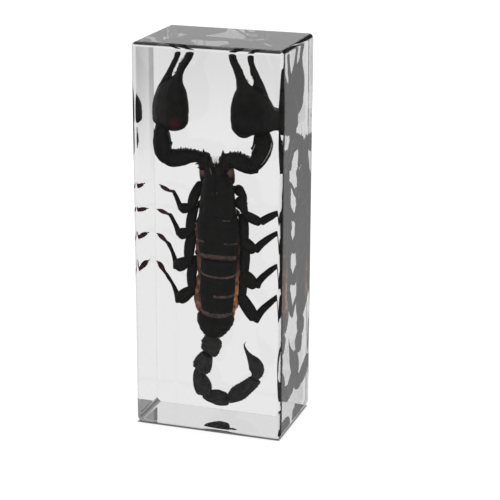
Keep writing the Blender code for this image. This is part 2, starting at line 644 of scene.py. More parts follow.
def makeHeadShield():
    front, rear = headShield["front"], headShield["rear"]
    mid = midline(67.0)
    eyeV = (front - headShield["eyeZ"]) / (front - rear)

    def shape(u, v):
        z = front + (rear - front) * v
        half = readTable(headShield["halfWidth"], z)
        x = midline(z) + half * math.sin(u * 1.35) / math.sin(1.35)
        z -= 0.8 * math.exp(-(u / 0.2) ** 2) * (1.0 - v) ** 3             # notch in the front edge
        z -= 0.9 * abs(u) ** 3 * (1.0 - v) ** 4                           # rounded front corners
        y = trunk["backY"] + 0.25 + 2.5 * abs(u) ** 2.5 + 1.6 * (1.0 - v) ** 3
        furrow = 0.34 * math.exp(-(u / 0.05) ** 2) * (0.35 + 0.65 * math.sin(math.pi * min(v * 1.05, 1.0)))
        hill = 0.62 * math.exp(-((u * half) / 0.95) ** 2 - ((v - eyeV) * 14 / 1.5) ** 2)
        sideFurrow = 0.16 * math.exp(-((abs(u) - 0.38 - 0.25 * v) / 0.07) ** 2)
        sideFurrow *= min(max(v - 0.45, 0.0) * 3, 1.0)
        rearFurrow = 0.14 * math.exp(-((v - 0.94) / 0.02) ** 2) - 0.55 * v ** 8
        spot = Vector((x, y, z))
        sides = min(abs(u) * 1.8, 1.0)
        rough = (0.03 + 0.06 * sides) * granule(spot, 0.46) + 0.05 * noise.noise(spot * 0.8)
        return x, y + furrow + sideFurrow + rearFurrow - hill - rough, z

    def rim(u, v):
        return v > 0.985 and 0.32 < u < 0.75

    finishPiece("headShield", plateShell(shape, headShield["thick"], 84, 84, rim), [blackHorn, plateRim])

    eyes = bmesh.new()
    top = trunk["backY"] - 0.25
    for side in (-1, 1):
        addBead(eyes, (mid + 0.55 * side, top, headShield["eyeZ"]), 0.46, (0.9, 0.8, 1.0), finer=3)
        for behind, radius in headShield["sideEyes"]:
            z = front - 1.7 - behind
            x = midline(z) + side * readTable(headShield["halfWidth"], z) * 0.93
            addBead(eyes, (x, trunk["backY"] + 2.5 - behind * 0.12, z), radius, finer=2)
    finishPiece("eyes", eyes, [eyeGloss])


makeHeadShield()
print("head shield made")


jaw = {
    "middle": -1.35,
    # x from the middle, y, z, half width, half depth
    "base": [(1.45, 4.0, 69.5, 1.3, 1.2), (1.5, 3.7, 71.5, 1.5, 1.5), (1.4, 3.5, 73.4, 1.5, 1.5),
             (1.05, 3.5, 74.7, 1.2, 1.2), (0.85, 3.5, 75.2, 0.8, 0.8)],
    "fixedFinger": [(0.5, 3.6, 74.2, 0.5, 0.6), (0.45, 3.6, 75.0, 0.38, 0.45), (0.5, 3.7, 75.6, 0.2, 0.24),
                    (0.6, 3.8, 75.9, 0.05, 0.06)],
    "movingFinger": [(1.5, 3.8, 74.0, 0.6, 0.7), (1.5, 3.8, 74.8, 0.45, 0.5), (1.2, 3.8, 75.4, 0.26, 0.3),
                     (0.9, 3.8, 75.8, 0.05, 0.06)],
    "bristles": 46,
    # a pale line on the left jaw, x as in the other pieces
    "paleLine": [(-2.35, 2.1, 74.4, 0.16, 0.12), (-2.1, 1.95, 73.3, 0.22, 0.15), (-1.8, 1.95, 72.3, 0.12, 0.1)],
}


def makeJaw(name, side):
    mid = jaw["middle"]
    chance = random.Random(name)
    target = bmesh.new()
    for part, sides, rings, grainHeight in (("base", 36, 30, 0.05), ("fixedFinger", 20, 18, 0.02),
                                            ("movingFinger", 20, 18, 0.02)):
        rows = [(mid + x * side, y, z, wide, deep) for x, y, z, wide, deep in jaw[part]]
        addLimb(target, rows, sides=sides, rings=rings, square=2.3, grainSize=0.4, grainHeight=grainHeight,
                lumps=0.05)
    for step in range(3):
        length = 0.36 - 0.07 * step
        addSpike(target, (mid + 0.7 * side, 3.6, 74.6 + 0.4 * step), (side, 0, 0.3), length, 0.15)
        addSpike(target, (mid + 1.3 * side, 3.8, 74.6 + 0.34 * step), (-side, 0, 0.3), length, 0.14)
    # long stiff bristles that stand up between the arms
    for _ in range(jaw["bristles"]):
        root = (mid + side * chance.uniform(0.1, 1.9), chance.uniform(3.0, 4.6), chance.uniform(73.6, 75.4))
        way = (side * chance.uniform(-0.4, 0.6), chance.uniform(-0.4, 0.3), 1.0)
        addSpike(target, root, way, chance.uniform(0.8, 3.8), 0.035, segments=4, slot=1)
    if side < 0:
        addLimb(target, jaw["paleLine"], 1, sides=10, rings=20, grainHeight=0.0, roundStart=0.4, roundEnd=0.4)
    finishPiece(name, target, [jawHorn, bristleHorn])


makeJaw("leftJaw", -1)
makeJaw("rightJaw", 1)
print("jaws made")


# depths that rows without a y are drawn at: palms and fingers, the upper arms' teeth, the painted air-film
# highlights
handDepth = 5.5
toothDepth = 4.7
filmHighlightDepth = 2.7
leftArm = {
    "hip": [(-4.9, 6.0, 69.5, 1.0, 1.2), (-5.0, 5.2, 72.0, 1.05, 1.5), (-4.9, 4.8, 74.8, 1.2, 1.6)],
    "shoulder": [(-4.3, 4.9, 72.8, 1.5, 1.4), (-4.35, 4.8, 74.3, 1.9, 1.8), (-4.3, 4.7, 76.0, 1.85, 1.9),
                 (-4.5, 4.7, 77.2, 1.6, 1.6), (-5.0, 4.7, 78.3, 0.7, 1.0)],
    # root, direction, length, radius
    "shoulderSpikes": [
        ((-4.6, 3.9, 77.5), (0.0, 0.0, 1.0), 1.8, 0.7), ((-3.7, 4.0, 77.2), (0.5, 0.0, 0.9), 1.3, 0.5),
        ((-3.1, 4.1, 76.6), (1.0, 0.0, 0.5), 1.2, 0.45), ((-3.0, 4.2, 75.6), (1.0, 0.0, 0.0), 1.1, 0.4),
        ((-2.9, 4.2, 74.7), (1.0, 0.0, 0.5), 0.9, 0.35), ((-6.2, 4.3, 75.0), (-1.0, 0.0, -0.4), 1.1, 0.4),
        ((-6.0, 4.2, 77.9), (-0.2, 0.0, 1.0), 0.8, 0.35), ((-5.3, 4.0, 78.0), (0.1, -0.3, 1.0), 0.8, 0.35),
        ((-5.9, 4.3, 73.7), (-1.0, 0.0, 0.1), 0.7, 0.35),
    ],
    "upper": [(-5.0, 4.7, 76.7, 1.3, 1.3), (-7.0, 4.7, 76.9, 1.6, 1.6), (-9.0, 4.6, 76.75, 1.9, 1.8),
              (-11.0, 4.5, 76.25, 2.25, 1.9), (-13.2, 4.3, 75.95, 2.45, 1.9), (-15.0, 4.0, 76.0, 2.3, 1.7),
              (-16.5, 3.9, 76.2, 1.5, 1.4)],
    "fore": [(-14.6, 4.0, 75.1, 1.5, 1.5), (-16.1, 3.5, 76.9, 2.2, 1.9), (-16.55, 3.2, 79.4, 2.55, 2.1),
             (-16.65, 3.2, 81.8, 2.4, 2.0), (-16.8, 3.7, 84.0, 1.85, 1.7), (-16.9, 4.6, 85.6, 1.3, 1.3)],
    "palm": [(-14.0, 83.4, 0.9, 0.8), (-14.15, 83.8, 2.05, 1.6), (-14.55, 84.5, 3.65, 2.6),
             (-14.78, 85.2, 4.42, 3.0), (-14.75, 85.9, 4.85, 3.2), (-14.65, 86.9, 5.05, 3.3),
             (-14.65, 88.5, 5.1, 3.3), (-14.55, 90.4, 5.1, 3.3), (-14.4, 92.8, 4.65, 3.3),
             (-14.1, 95.1, 3.9, 2.93), (-13.6, 97, 2.6, 2.05), (-12.7, 98.4, 1.6, 1.37),
             (-11.95, 99.6, 1.05, 0.99), (-11.4, 100.9, 1.08, 1.01), (-10.55, 102.4, 1.2, 1.1),
             (-9.4, 104, 1.1, 1.01), (-8.95, 105.1, 1.05, 0.97), (-8.7, 105.8, 0.98, 0.9)],
    "finger": [(-17.8, 90.5, 1.2, 1.1), (-17.4, 92.5, 1.85, 1.54), (-16.65, 95.1, 1.85, 1.54),
               (-15.8, 97.1, 1.6, 1.37), (-15.3, 98.6, 1.2, 1.1), (-14.95, 99.6, 0.93, 0.91),
               (-14.3, 101, 0.81, 0.83), (-13.4, 102.7, 0.81, 0.83), (-12.7, 104.1, 0.78, 0.8),
               (-12.4, 105.1, 0.8, 0.8), (-12.2, 105.7, 0.76, 0.75)],
    "upperTeeth": [(-6.6, 78.35), (-7.6, 78.45), (-8.6, 78.6), (-9.6, 78.6), (-10.5, 78.6), (-11.5, 78.45),
                   (-12.5, 78.25), (-13.4, 78.0)],
    "foreSpike": ((-14.9, 3.1, 80.4), (1.0, 0.0, -0.18), 1.3, 1.2),
    "airFilmHighlights": [[(-18.9, 84.2), (-18.95, 82.8), (-18.85, 81.4), (-18.6, 80.2)]],
    "side": -1,
    "twist": -34.0,                 # degrees that the hand is turned about its length, outer edge back
    "slide": (0.241, 0.142),        # the hand's X and Z per mm of depth along the line of sight
    "armSlide": (0.24, 0.16),       # the same for the arm
    "upperDepth": (4.7, 3.9),       # of the first and last station
    # height, depth there
    "foreDepth": [(85.6, 4.6), (84.0, 3.7), (80.0, 3.2), (76.9, 3.5), (75.0, 4.0)],
    # the air films are pale strips of painted highlight
    "filmHighlightAhead": 0.5,               # how far the air films lie in front of the fore arm's middle
    "palmDepth": [(99.0, 0.6), (95.0, 1.5), (88.0, 3.2), (83.0, 4.3)],
    "fingerDepth": [(98.5, 2.7), (94.0, 3.8), (90.0, 4.8)],
}
rightArm = {
    "hip": [(2.9, 6.0, 69.5, 1.0, 1.2), (3.1, 5.2, 72.0, 1.1, 1.5), (2.6, 4.8, 74.8, 1.2, 1.6)],
    "shoulder": [(1.9, 4.9, 72.8, 1.3, 1.4), (1.7, 4.8, 74.5, 1.8, 1.8), (1.65, 4.7, 76.2, 1.75, 1.9),
                 (1.7, 4.7, 77.4, 1.6, 1.6), (1.6, 4.7, 78.4, 0.7, 1.0)],
    "shoulderSpikes": [
        ((1.1, 4.0, 77.8), (-0.05, 0.0, 1.0), 1.6, 0.7), ((0.4, 4.2, 76.9), (-0.8, 0.0, 0.6), 0.8, 0.45),
        ((0.2, 4.3, 75.8), (-1.0, 0.0, 0.1), 0.5, 0.35), ((2.5, 4.2, 78.1), (0.3, 0.0, 1.0), 0.6, 0.35),
        ((3.1, 4.3, 75.2), (1.0, 0.0, -0.5), 0.6, 0.35), ((0.8, 4.2, 74.8), (-1.0, 0.0, 0.4), 0.5, 0.3),
    ],
    "upper": [(1.8, 4.7, 77.0, 1.5, 1.4), (4.0, 4.8, 76.8, 1.95, 1.7), (6.0, 4.8, 76.3, 2.4, 1.9),
              (8.0, 4.8, 75.6, 2.35, 1.9), (9.5, 4.8, 75.2, 2.0, 1.8), (10.5, 4.8, 75.1, 1.4, 1.5)],
    "fore": [(9.0, 4.8, 74.4, 1.2, 1.2), (10.6, 4.8, 76.5, 2.0, 1.4), (11.75, 4.9, 79.1, 2.6, 1.55),
             (12.3, 5.0, 81.7, 2.75, 1.6), (12.2, 5.2, 83.7, 2.4, 1.6), (12.0, 5.3, 85.2, 1.9, 1.4)],
    "palm": [(6.7, 83.0, 0.7, 0.7), (6.65, 83.45, 1.5, 1.3), (6.95, 84.0, 2.4, 2.0), (8.25, 84.5, 4.1, 2.7),
             (9.05, 85.0, 5.25, 3.1), (9.3, 85.8, 5.95, 3.4), (9.2, 87.0, 6.05, 3.5), (9.25, 88.2, 6.25, 3.5),
             (9.25, 90, 6.25, 3.5), (9.0, 92, 5.9, 3.5), (8.75, 94.1, 5.15, 3.5), (8.35, 95.5, 4.2, 3.14),
             (7.75, 96.6, 3.1, 2.39), (6.6, 97.7, 2, 1.64), (6.05, 98.8, 1.52, 1.31), (5.5, 100, 1.28, 1.15),
             (5.05, 101.4, 1.25, 1.13), (4.15, 103.1, 1.12, 1.04), (3.55, 104.6, 1.05, 0.98),
             (3.35, 105.9, 0.98, 0.9)],
    "finger": [(13, 90.5, 1.3, 1.16), (12.9, 92.4, 2, 1.64), (11.95, 94.3, 2.02, 1.65),
               (11.3, 96.2, 1.88, 1.56), (10.9, 97.5, 1.75, 1.47), (10.8, 98.5, 1.38, 1.22),
               (10.4, 99.8, 1.1, 1.03), (9.8, 100.8, 1.2, 1.1), (9.15, 102.8, 0.84, 0.85),
               (8.65, 104.3, 0.86, 0.85), (8.6, 105.9, 0.88, 0.85)],
    "upperTeeth": [(3.0, 78.6), (4.0, 78.7), (5.0, 78.75), (6.0, 78.65), (7.0, 78.25), (7.8, 77.8)],
    "foreSpike": ((10.1, 1.5, 80.95), (-1.0, 0.0, -0.3), 0.5, 0.6),
    "airFilmHighlights": [[(10.6, 82.0), (10.1, 80.7), (9.4, 79.3)],
                 [(15.2, 82.7), (15.0, 81.1), (14.2, 79.2), (13.25, 77.6), (12.3, 76.3)],
                 [(8.7, 78.4), (9.2, 78.1)]],
    "side": 1,
    "twist": 34.0,
    "slide": (0.211, 0.142),
    "armSlide": (0.208, 0.16),
    "upperDepth": (4.8, 0.6),
    "foreDepth": [(85.4, 4.4), (83.4, 2.8), (79.5, 1.1), (76.5, 0.0), (74.4, 0.0)],
    "filmHighlightAhead": 1.75,
    "palmDepth": [(98.5, -2.0), (95.0, -0.8), (88.0, 1.2), (83.0, 2.3)],
    "fingerDepth": [(98.5, 0.0), (94.0, 1.8), (90.0, 3.0)],
}


def atHandDepth(rows):
    return [(x, handDepth, z, wide, deep) for x, z, wide, deep in rows]


def bringForward(rows, depth, slide, twist=0.0):
    # moves stations along the line of sight to the depth wanted at their height, or shared out between a
    # first and a last depth, and widens them so that turned rings keep the outline seen from the front
    turnCos, turnSin = math.cos(math.radians(twist)), math.sin(math.radians(twist))
    out = []
    for number, (x, y, z, wide, deep) in enumerate(rows):
        if isinstance(depth, tuple):
            nearer = y - depth[0] - (depth[1] - depth[0]) * number / (len(rows) - 1)
        else:
            nearer = y - readTable(depth, z)
        drawn = math.hypot(wide, slide[0] * deep)
        inner = deep * (slide[0] * turnCos - turnSin)
        broad = wide
        if twist:
            broad = math.sqrt(max(drawn ** 2 - inner ** 2, (0.6 * drawn) ** 2))
            broad /= turnCos + slide[0] * turnSin
        out.append((x + slide[0] * nearer, y - nearer, z + slide[1] * nearer, broad, deep))
    return out


def fingerTeeth(target, rows, inner, start, count, size):
    # a row of small rounded teeth along the biting edge; inner is the side that bites, -1 left or 1 right
    read = smoothStations(rows)
    for step in range(count):
        share = start + (0.96 - start) * step / (count - 1)
        x, y, z, halfWide, halfDeep = read(share)
        out = besideWay(wayAt(read, share))[0] * inner
        bigger = 1.0 + (0.7 if step % 5 == 2 else 0.0)
        addBead(target, Vector((x, y, z)) + out * halfWide * 0.97, size * bigger * (0.6 + 0.4 * (1 - share)))


armKeels = ((28, 0.16, 9), (152, 0.16, 9), (-30, 0.14, 9), (-150, 0.14, 9))
palmKeels = ((35, 0.1, 6), (75, 0.08, 5), (110, 0.08, 5), (145, 0.1, 6), (-60, 0.08, 6), (-120, 0.08, 6))
# how each part is shaped round its stations
armShapes = {
    "hip": dict(sides=32, rings=24, square=2.3, grainHeight=0.04),
    "shoulder": dict(sides=48, rings=40, square=2.6, grainSize=0.6, grainHeight=0.18, lumps=0.25,
                     keels=((60, 0.2, 12), (120, 0.2, 12))),
    "upper": dict(sides=64, rings=70, square=2.8, grainSize=0.55, grainHeight=0.1, lumps=0.12,
                  keels=armKeels),
    "fore": dict(sides=64, rings=70, square=2.6, grainSize=0.5, grainHeight=0.07, lumps=0.08, keels=armKeels),
    "airFilmHighlight": dict(sides=8, rings=24, grainHeight=0.04, lumps=0.05, roundStart=0.6, roundEnd=0.6),
    "palm": dict(sides=96, rings=150, square=2.2, grainSize=0.62, grainHeight=0.05, keels=palmKeels,
                 roundStart=0.3, roundEnd=0.4, level=True),
    "finger": dict(sides=48, rings=90, square=2.2, grainSize=0.45, grainHeight=0.03,
                   keels=((60, 0.06, 8), (120, 0.06, 8)), roundEnd=0.4, level=True),
}


def startLimb(part, rows, **more):
    target = bmesh.new()
    addLimb(target, rows, **armShapes[part], **more)
    return target


def makeShoulder(name, arm, chance):
    shoulder = startLimb("shoulder", arm["shoulder"])
    for spike in arm["shoulderSpikes"]:
        addSpike(shoulder, *spike)
    for _ in range(16):
        x, y, z, wide, deep = arm["shoulder"][chance.randrange(1, 4)]
        way = (chance.uniform(-1.0, 1.0), chance.uniform(-0.9, 0.2), chance.uniform(-0.2, 1.0))
        root = (x + 0.8 * wide * way[0], y - 0.7 * deep, z + chance.uniform(-0.5, 0.5))
        addSpike(shoulder, root, way, chance.uniform(0.4, 0.8), chance.uniform(0.2, 0.34), segments=6)
        addSpike(shoulder, root, (way[0], way[1], 1.2), chance.uniform(0.8, 1.8), 0.03, segments=4, slot=1)
    finishPiece(name + "Shoulder", shoulder, [blackHorn, bristleHorn])


def makeUpperArm(name, arm, chance):
    upper = startLimb("upper", bringForward(arm["upper"], arm["upperDepth"], arm["armSlide"]))
    # its teeth lie at the depth that the arm has below them
    beginX, endX = arm["upper"][0][0], arm["upper"][-1][0]
    beginY, endY = arm["upperDepth"]
    for x, z in arm["upperTeeth"]:
        middle = beginY + (endY - beginY) * (x - beginX) / (endX - beginX)
        nearer = toothDepth - middle
        x, z = x + arm["armSlide"][0] * nearer, z + arm["armSlide"][1] * nearer
        for beside in (-0.7, 0.7):
            root = (x + chance.uniform(-0.2, 0.2), middle + beside, z - 0.1)
            way = (chance.uniform(-0.3, 0.3), 0.0, 1.0)
            addSpike(upper, root, way, chance.uniform(0.4, 0.7), 0.34, tip=0.4)
    finishPiece(name + "Upper", upper, [blackHorn])


def makeForeArm(name, arm):
    fore = startLimb("fore", bringForward(arm["fore"], arm["foreDepth"], arm["armSlide"]))
    addSpike(fore, *arm["foreSpike"], segments=12, tip=0.35)
    finishPiece(name + "Fore", fore, [blackHorn])

    # pale strips along its edges, a painted highlight for the shine of thin films of trapped air
    films = bmesh.new()
    depth = [(z, y - arm["filmHighlightAhead"]) for z, y in arm["foreDepth"]]
    for path in arm["airFilmHighlights"]:
        rows = bringForward([(x, filmHighlightDepth, z, 0.085, 0.05) for x, z in path], depth, arm["armSlide"])
        addLimb(films, rows, **armShapes["airFilmHighlight"])
    finishPiece(name + "AirFilmHighlights", films, [airFilmHighlight])


def makeHand(name, arm):
    side = arm["side"]
    palmRows = bringForward(atHandDepth(arm["palm"]), arm["palmDepth"], arm["slide"], arm["twist"])
    palm = startLimb("palm", palmRows, twist=arm["twist"])
    fingerTeeth(palm, palmRows, side, 0.68, 26, 0.16)
    finishPiece(name + "Palm", palm, [palmHorn if side < 0 else blackHorn])

    fingerRows = bringForward(atHandDepth(arm["finger"]), arm["fingerDepth"], arm["slide"])
    finger = startLimb("finger", fingerRows)
    fingerTeeth(finger, fingerRows, -side, 0.42, 28, 0.15)
    finishPiece(name + "Finger", finger, [blackHorn])


def makeArm(name, arm):
    chance = random.Random(name)
    hipHorn = leftHipHorn if arm["side"] < 0 else rightHipHorn
    finishPiece(name + "Hip", startLimb("hip", arm["hip"]), [hipHorn])
    makeShoulder(name, arm, chance)
    makeUpperArm(name, arm, chance)
    makeForeArm(name, arm)
    makeHand(name, arm)


makeArm("leftArm", leftArm)
makeArm("rightArm", rightArm)
print("claw arms made")


# Stations x, y, z, half width, half depth of each leg's parts, hip to foot
legs = {
    "leftLeg1": {
        "hip": [(-1.8, 7.2, 66.5, 0.9, 1.0), (-4.6, 7.0, 67.8, 1.2, 1.2), (-6.4, 6.4, 68.6, 1.0, 1.1)],
        "thigh": [(-5.9, 6.0, 69.6, 0.8, 0.6), (-7.0, 5.0, 66.8, 1.35, 0.8), (-7.9, 4.2, 64.2, 1.4, 0.8),
                  (-8.4, 4.2, 62.0, 1.1, 0.7)],
        "knee": [(-7.8, 4.4, 62.3, 1.0, 0.8), (-9.4, 4.4, 61.9, 1.3, 0.85), (-11.0, 4.5, 61.5, 1.45, 0.85),
                 (-12.1, 4.6, 61.1, 1.0, 0.7)],
        "shin": [(-11.4, 4.7, 61.0, 0.85, 0.7), (-12.2, 5.4, 62.4, 0.72, 0.62), (-13.2, 6.5, 64.0, 0.6, 0.55),
                 (-14.4, 8.0, 65.3, 0.52, 0.5), (-15.0, 8.6, 65.6, 0.42, 0.42)],
        "foot": [(-14.9, 8.5, 65.55, 0.42, 0.42), (-15.9, 9.0, 65.5, 0.4, 0.4),
                 (-16.9, 9.5, 65.75, 0.58, 0.5), (-18.0, 10.0, 66.1, 0.58, 0.5),
                 (-18.9, 10.3, 66.6, 0.32, 0.34)],
    },
    "leftLeg2": {
        "hip": [(-2.0, 7.4, 63.5, 0.9, 1.0), (-5.2, 7.0, 63.0, 1.2, 1.2), (-7.2, 6.4, 62.5, 1.0, 1.1)],
        "thigh": [(-7.2, 6.0, 62.6, 0.8, 0.6), (-8.2, 5.0, 60.0, 1.35, 0.8), (-8.6, 4.2, 57.2, 1.4, 0.8),
                  (-8.9, 4.2, 54.4, 1.2, 0.7)],
        "knee": [(-8.4, 4.4, 55.1, 1.1, 0.8), (-10.1, 4.4, 54.5, 1.45, 0.9), (-11.6, 4.5, 54.0, 1.55, 0.9),
                 (-12.7, 4.6, 53.6, 1.1, 0.7)],
        "shin": [(-12.0, 4.7, 53.5, 0.95, 0.75), (-12.9, 5.4, 55.3, 0.75, 0.65),
                 (-14.1, 6.5, 57.0, 0.58, 0.55), (-15.4, 8.0, 58.4, 0.56, 0.5),
                 (-16.0, 8.6, 58.65, 0.44, 0.42)],
        "foot": [(-15.7, 8.5, 58.5, 0.42, 0.42), (-16.7, 9.0, 58.75, 0.4, 0.4), (-17.8, 9.5, 59.0, 0.58, 0.5),
                 (-18.8, 10.0, 59.2, 0.58, 0.5), (-19.8, 10.3, 59.4, 0.32, 0.34)],
    },
    "leftLeg3": {
        "hip": [(-2.0, 7.6, 60.5, 0.9, 1.0), (-5.2, 7.2, 57.8, 1.2, 1.2), (-7.6, 6.6, 55.2, 1.0, 1.1)],
        "thigh": [(-7.6, 6.0, 55.4, 0.9, 0.6), (-8.7, 5.0, 52.4, 1.5, 0.8), (-9.1, 4.2, 49.2, 1.5, 0.85),
                  (-9.2, 4.2, 45.8, 1.2, 0.75)],
        "knee": [(-8.4, 4.4, 46.9, 1.1, 0.8), (-10.0, 4.4, 46.0, 1.5, 0.9), (-11.8, 4.5, 44.9, 1.85, 0.95),
                 (-13.4, 4.6, 43.6, 1.3, 0.8)],
        "shin": [(-12.9, 4.7, 43.4, 1.1, 0.8), (-13.6, 5.4, 45.9, 0.72, 0.65), (-14.7, 6.5, 48.2, 0.5, 0.52),
                 (-16.0, 8.0, 49.8, 0.58, 0.5), (-16.8, 8.8, 50.3, 0.44, 0.42)],
        "foot": [(-16.2, 8.5, 49.8, 0.46, 0.42), (-17.4, 9.2, 50.7, 0.46, 0.44),
                 (-18.4, 9.7, 51.4, 0.68, 0.52), (-19.1, 10.0, 51.8, 0.62, 0.5),
                 (-19.9, 10.3, 52.2, 0.32, 0.34)],
    },
    "leftLeg4": {
        "hip": [(-2.0, 7.8, 58.5, 0.9, 1.0), (-5.0, 7.6, 53.0, 1.3, 1.2), (-7.2, 6.8, 47.6, 1.0, 1.1)],
        "thigh": [(-7.2, 6.2, 47.8, 0.9, 0.6), (-8.2, 5.0, 44.6, 1.4, 0.8), (-8.4, 4.2, 41.2, 1.4, 0.85),
                  (-8.1, 4.2, 37.8, 1.2, 0.75)],
        "knee": [(-7.2, 4.4, 38.4, 1.1, 0.8), (-9.2, 4.4, 37.1, 1.6, 0.9), (-11.2, 4.5, 35.4, 1.85, 0.95),
                 (-12.6, 4.6, 33.8, 1.3, 0.8)],
        "shin": [(-12.3, 4.7, 33.4, 1.1, 0.8), (-13.2, 5.4, 36.0, 0.78, 0.65),
                 (-14.75, 6.5, 38.65, 0.46, 0.5), (-16.5, 8.0, 40.4, 0.52, 0.5),
                 (-17.2, 8.8, 41.0, 0.42, 0.42)],
        "foot": [(-16.7, 8.5, 40.5, 0.46, 0.42), (-17.8, 9.2, 41.5, 0.48, 0.44),
                 (-18.8, 9.7, 42.7, 0.78, 0.55), (-19.4, 10.0, 43.4, 0.66, 0.5),
                 (-20.1, 10.3, 43.9, 0.3, 0.34)],
    },
    "rightLeg1": {
        "hip": [(0.0, 7.2, 66.5, 0.9, 1.0), (2.6, 7.0, 67.6, 1.2, 1.2), (4.6, 6.4, 68.2, 1.0, 1.1)],
        "thigh": [(4.2, 6.0, 69.0, 0.9, 0.6), (5.6, 5.0, 68.0, 1.5, 0.8), (6.95, 4.4, 66.6, 0.95, 0.8),
                  (6.3, 4.2, 64.7, 1.9, 0.8), (7.0, 4.2, 63.2, 1.2, 0.75), (7.5, 4.2, 61.6, 1.0, 0.7)],
        "knee": [(6.9, 4.4, 61.9, 0.95, 0.8), (8.1, 4.4, 61.1, 1.35, 0.85), (10.2, 4.5, 60.2, 1.4, 0.85),
                 (12.2, 4.6, 59.4, 1.05, 0.7)],
        "shin": [(11.7, 4.7, 59.4, 1.0, 0.75), (12.9, 5.4, 60.3, 1.05, 0.65), (14.6, 6.5, 61.3, 0.95, 0.6),
                 (16.2, 8.0, 62.2, 0.62, 0.5), (17.0, 8.6, 62.5, 0.44, 0.42)],
        "foot": [(16.7, 8.5, 62.4, 0.42, 0.42), (17.4, 9.0, 62.6, 0.4, 0.4), (18.3, 9.5, 62.9, 0.58, 0.5),
                 (19.2, 10.0, 63.3, 0.56, 0.5), (20.0, 10.3, 63.7, 0.3, 0.34)],
    },
    "rightLeg2": {
        "hip": [(0.2, 7.4, 63.5, 0.9, 1.0), (3.4, 7.0, 61.6, 1.1, 1.2), (5.3, 6.4, 60.8, 0.9, 1.1)],
        "thigh": [(5.6, 6.0, 61.2, 0.8, 0.6), (6.7, 5.0, 59.6, 1.35, 0.8), (7.1, 4.2, 56.8, 1.45, 0.8),
                  (7.2, 4.2, 53.6, 1.2, 0.7)],
        "knee": [(6.4, 4.4, 54.4, 1.1, 0.8), (7.6, 4.4, 53.2, 1.75, 0.9), (9.2, 4.5, 51.9, 1.7, 0.9),
                 (10.6, 4.6, 51.0, 1.1, 0.7)],
        "shin": [(10.2, 4.7, 50.9, 1.0, 0.75), (11.0, 5.2, 52.1, 1.05, 0.7), (12.2, 5.6, 53.4, 0.95, 0.65),
                 (14.4, 6.8, 55.2, 0.78, 0.55), (16.3, 8.4, 56.5, 0.5, 0.45)],
        "foot": [(16.1, 8.3, 56.4, 0.42, 0.42), (17.0, 8.9, 56.9, 0.4, 0.4), (18.0, 9.5, 57.4, 0.58, 0.5),
                 (18.9, 10.0, 57.9, 0.56, 0.5), (19.7, 10.3, 58.4, 0.3, 0.34)],
    },
    "rightLeg3": {
        "hip": [(0.2, 7.6, 60.5, 0.9, 1.0), (3.4, 7.2, 57.8, 1.2, 1.2), (5.8, 6.6, 55.0, 1.0, 1.1)],
        "thigh": [(5.8, 6.0, 55.4, 0.9, 0.6), (7.0, 5.0, 52.4, 1.4, 0.8), (7.4, 4.2, 48.8, 1.5, 0.85),
                  (7.2, 4.2, 44.6, 1.3, 0.75)],
        "knee": [(6.4, 4.4, 44.9, 1.1, 0.8), (7.8, 4.4, 43.4, 1.9, 0.9), (9.4, 4.5, 41.8, 1.95, 0.95),
                 (10.9, 4.6, 40.6, 1.2, 0.8)],
        "shin": [(10.6, 4.7, 40.4, 1.15, 0.8), (11.2, 5.2, 41.9, 1.0, 0.7), (12.4, 5.6, 43.5, 0.88, 0.65),
                 (14.5, 6.8, 45.5, 0.78, 0.55), (16.4, 8.4, 47.0, 0.5, 0.45)],
        "foot": [(16.2, 8.3, 46.9, 0.42, 0.42), (17.1, 8.9, 47.5, 0.42, 0.42), (18.1, 9.5, 48.2, 0.6, 0.5),
                 (19.0, 10.0, 48.8, 0.58, 0.5), (19.9, 10.3, 49.4, 0.3, 0.34)],
    },
    "rightLeg4": {
        "hip": [(0.2, 7.8, 58.5, 0.9, 1.0), (3.2, 7.6, 53.0, 1.3, 1.2), (5.4, 6.8, 47.6, 1.0, 1.1)],
        "thigh": [(5.4, 6.2, 47.8, 0.9, 0.6), (6.4, 5.0, 44.6, 1.4, 0.8), (6.7, 4.4, 41.2, 1.4, 0.85),
                  (6.6, 4.4, 37.6, 1.2, 0.8)],
        "knee": [(5.7, 4.6, 38.6, 1.2, 0.85), (7.1, 4.6, 36.1, 1.75, 0.95), (8.8, 4.5, 33.6, 1.9, 1.0),
                 (10.6, 4.6, 30.8, 1.5, 0.85)],
        "shin": [(10.2, 4.7, 30.2, 1.1, 0.8), (11.4, 5.2, 32.4, 1.0, 0.7), (12.6, 5.6, 34.1, 0.95, 0.65),
                 (14.7, 6.8, 36.2, 0.78, 0.55), (16.7, 8.4, 38.2, 0.5, 0.45)],
        "foot": [(16.5, 8.3, 38.0, 0.44, 0.42), (17.4, 8.9, 38.9, 0.44, 0.42), (18.2, 9.5, 39.9, 0.62, 0.5),
                 (18.9, 10.0, 40.7, 0.58, 0.5), (19.6, 10.3, 41.4, 0.3, 0.34)],
    },
}


ridges = ((0, 0.08, 10), (180, 0.08, 10))
legShapes = {
    "hip": dict(sides=28, rings=22, square=2.4, keels=ridges, grainHeight=0.04),
    "thigh": dict(sides=36, rings=36, square=2.5, keels=ridges, grainSize=0.42, grainHeight=0.035),
    "knee": dict(sides=36, rings=36, square=2.5, keels=ridges, grainSize=0.42, grainHeight=0.035),
    "shin": dict(sides=28, rings=34, square=2.3, keels=ridges, grainSize=0.4, grainHeight=0.02,
                 roundStart=0.5, roundEnd=0.35),
    "foot": dict(sides=28, rings=34, square=2.2, grainSize=0.3, grainHeight=0.015, roundStart=0.3,
                 roundEnd=0.3, lumps=0.02),
    "claw": dict(sides=8, rings=7, grainHeight=0.0, roundStart=0.05, roundEnd=0.05, lumps=0.0),
}
legBristles = {"shin": 18, "foot": 26}


